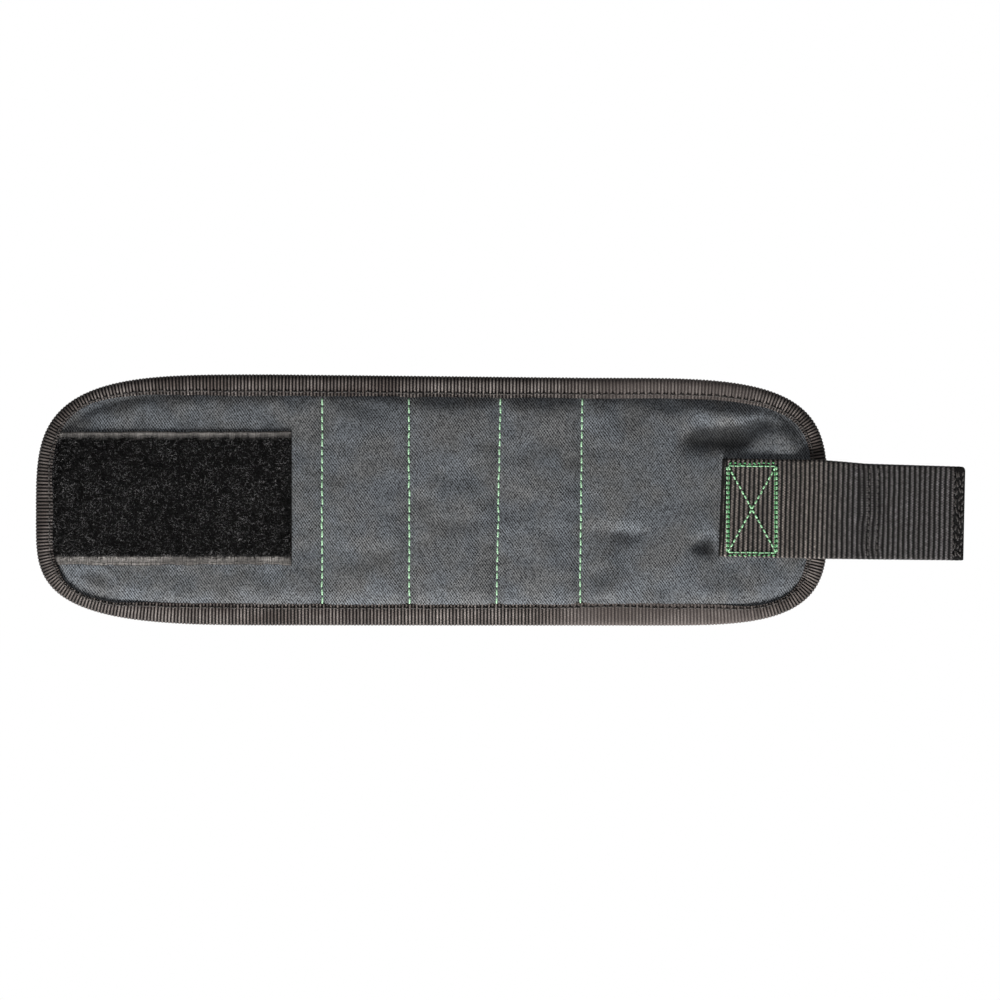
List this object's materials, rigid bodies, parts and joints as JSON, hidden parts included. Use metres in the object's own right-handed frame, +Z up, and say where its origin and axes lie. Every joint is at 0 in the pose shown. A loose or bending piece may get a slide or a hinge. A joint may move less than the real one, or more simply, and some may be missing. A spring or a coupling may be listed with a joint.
{
  "type": "magnetic wristband",
  "caption": "Quilted cloth wristband with flat magnets sewn into cross channels, ribbed edge binding, and a hook-and-loop webbing strap that closes it around a wrist to hold small steel parts.",
  "frame": {"origin": "centre of the flat underside, at the middle of the band's overall length and width", "axes": "+X along the band from the loop tape end to the strap end, +Y across it, +Z up out of the face"},
  "size_m": [0.351, 0.095, 0.0063],
  "materials": {
    "face_cloth": "charcoal polyester twill, matte with a slight sheen",
    "lining_mesh": "dark padded air mesh",
    "edge_binding": "brown-black ribbed grosgrain tape",
    "loop_pile": "black looped pile with brown-grey woven selvedges",
    "strap_webbing": "dark ribbed polyester webbing",
    "hook_tape": "black nylon hooks on woven tape",
    "carrier_foam": "dark closed-cell foam",
    "magnet_plating": "bright nickel plating"
  },
  "bodies": {
    "left_end": {"lining_left_end": "lining_mesh", "face_left_end": "face_cloth", "binding_left_end": "edge_binding", "loop_tape_end": "loop_pile"},
    "left_mid": {"lining_left_mid": "lining_mesh", "face_left_mid": "face_cloth", "binding_far_left_mid": "edge_binding", "binding_near_left_mid": "edge_binding", "loop_tape_mid": "loop_pile"},
    "left_inner": {"lining_left_inner": "lining_mesh", "face_left_inner": "face_cloth", "binding_far_left_inner": "edge_binding", "binding_near_left_inner": "edge_binding", "loop_tape_inner": "loop_pile"},
    "pocket_left": {"lining_pocket_left": "lining_mesh", "face_pocket_left": "face_cloth", "binding_far_pocket_left": "edge_binding", "binding_near_pocket_left": "edge_binding", "magnet_carrier_left": "carrier_foam", "magnet_left_1": "magnet_plating", "magnet_left_2": "magnet_plating", "magnet_left_3": "magnet_plating", "magnet_left_4": "magnet_plating"},
    "pocket_mid": {"lining_pocket_mid": "lining_mesh", "face_pocket_mid": "face_cloth", "binding_far_pocket_mid": "edge_binding", "binding_near_pocket_mid": "edge_binding", "magnet_carrier_mid": "carrier_foam", "magnet_mid_1": "magnet_plating", "magnet_mid_2": "magnet_plating", "magnet_mid_3": "magnet_plating", "magnet_mid_4": "magnet_plating"},
    "pocket_right": {"lining_pocket_right": "lining_mesh", "face_pocket_right": "face_cloth", "binding_far_pocket_right": "edge_binding", "binding_near_pocket_right": "edge_binding", "magnet_carrier_right": "carrier_foam", "magnet_right_1": "magnet_plating", "magnet_right_2": "magnet_plating", "magnet_right_3": "magnet_plating", "magnet_right_4": "magnet_plating"},
    "right_inner": {"lining_right_inner": "lining_mesh", "face_right_inner": "face_cloth", "binding_far_right_inner": "edge_binding", "binding_near_right_inner": "edge_binding"},
    "right_mid": {"lining_right_mid": "lining_mesh", "face_right_mid": "face_cloth", "binding_far_right_mid": "edge_binding", "binding_near_right_mid": "edge_binding"},
    "right_end": {"lining_right_end": "lining_mesh", "face_right_end": "face_cloth", "binding_right_end": "edge_binding", "strap_anchor": "strap_webbing"},
    "strap_link_root": {"strap_root": "strap_webbing"},
    "strap_link_mid": {"strap_mid": "strap_webbing", "hook_tape_mid": "hook_tape"},
    "strap_link_tip": {"strap_tip": "strap_webbing", "hook_tape_tip": "hook_tape"}
  },
  "joints": [
    {"name": "wrap_left", "type": "hinge", "parent": "pocket_mid", "child": "pocket_left", "pos_m": [-0.0343, 0, 0], "axis": [0, -1, 0], "range_deg": [0, 47.95]},
    {"name": "wrap_left_seam", "type": "hinge", "parent": "pocket_left", "child": "left_inner", "pos_m": [-0.0672, 0, 0], "axis": [0, -1, 0], "range_deg": [0, 53.11]},
    {"name": "wrap_left_flex_1", "type": "hinge", "parent": "left_inner", "child": "left_mid", "pos_m": [-0.108, 0, 0], "axis": [0, -1, 0], "range_deg": [0, 53.06]},
    {"name": "wrap_left_flex_2", "type": "hinge", "parent": "left_mid", "child": "left_end", "pos_m": [-0.1355, 0, 0], "axis": [0, -1, 0], "range_deg": [0, 48.71]},
    {"name": "wrap_right", "type": "hinge", "parent": "pocket_mid", "child": "pocket_right", "pos_m": [-0.0006, 0, 0], "axis": [0, 1, 0], "range_deg": [0, 41.43]},
    {"name": "wrap_right_seam", "type": "hinge", "parent": "pocket_right", "child": "right_inner", "pos_m": [0.0306, 0, 0], "axis": [0, 1, 0], "range_deg": [0, 37.66]},
    {"name": "wrap_right_flex_1", "type": "hinge", "parent": "right_inner", "child": "right_mid", "pos_m": [0.056, 0, 0], "axis": [0, 1, 0], "range_deg": [0, 37.64]},
    {"name": "wrap_right_flex_2", "type": "hinge", "parent": "right_mid", "child": "right_end", "pos_m": [0.08, 0, 0], "axis": [0, 1, 0], "range_deg": [0, 40.51]},
    {"name": "strap_lift", "type": "hinge", "parent": "right_end", "child": "strap_link_root", "pos_m": [0.12499, -0.0038, 0.0051], "axis": [0.0216, 0.9998, 0], "range_deg": [-70, 58.6]},
    {"name": "strap_bend_1", "type": "hinge", "parent": "strap_link_root", "child": "strap_link_mid", "pos_m": [0.13699, -0.00406, 0.0051], "axis": [0.0216, 0.9998, 0], "range_deg": [-10.31, 12.31]},
    {"name": "strap_bend_2", "type": "hinge", "parent": "strap_link_mid", "child": "strap_link_tip", "pos_m": [0.16338, -0.00463, 0.0051], "axis": [0.0216, 0.9998, 0], "range_deg": [-59.14, 49.51]}
  ],
  "couplings": [
    {"joint": "wrap_left_seam", "follows": "wrap_left", "ratio": 1.1074},
    {"joint": "wrap_left_flex_1", "follows": "wrap_left", "ratio": 1.1064},
    {"joint": "wrap_left_flex_2", "follows": "wrap_left", "ratio": 1.0156},
    {"joint": "wrap_right_seam", "follows": "wrap_right", "ratio": 0.90876},
    {"joint": "wrap_right_flex_1", "follows": "wrap_right", "ratio": 0.90828},
    {"joint": "wrap_right_flex_2", "follows": "wrap_right", "ratio": 0.97755},
    {"joint": "strap_bend_1", "follows": "strap_lift", "ratio": -0.17577},
    {"joint": "strap_bend_2", "follows": "strap_lift", "ratio": 0.84471}
  ]
}
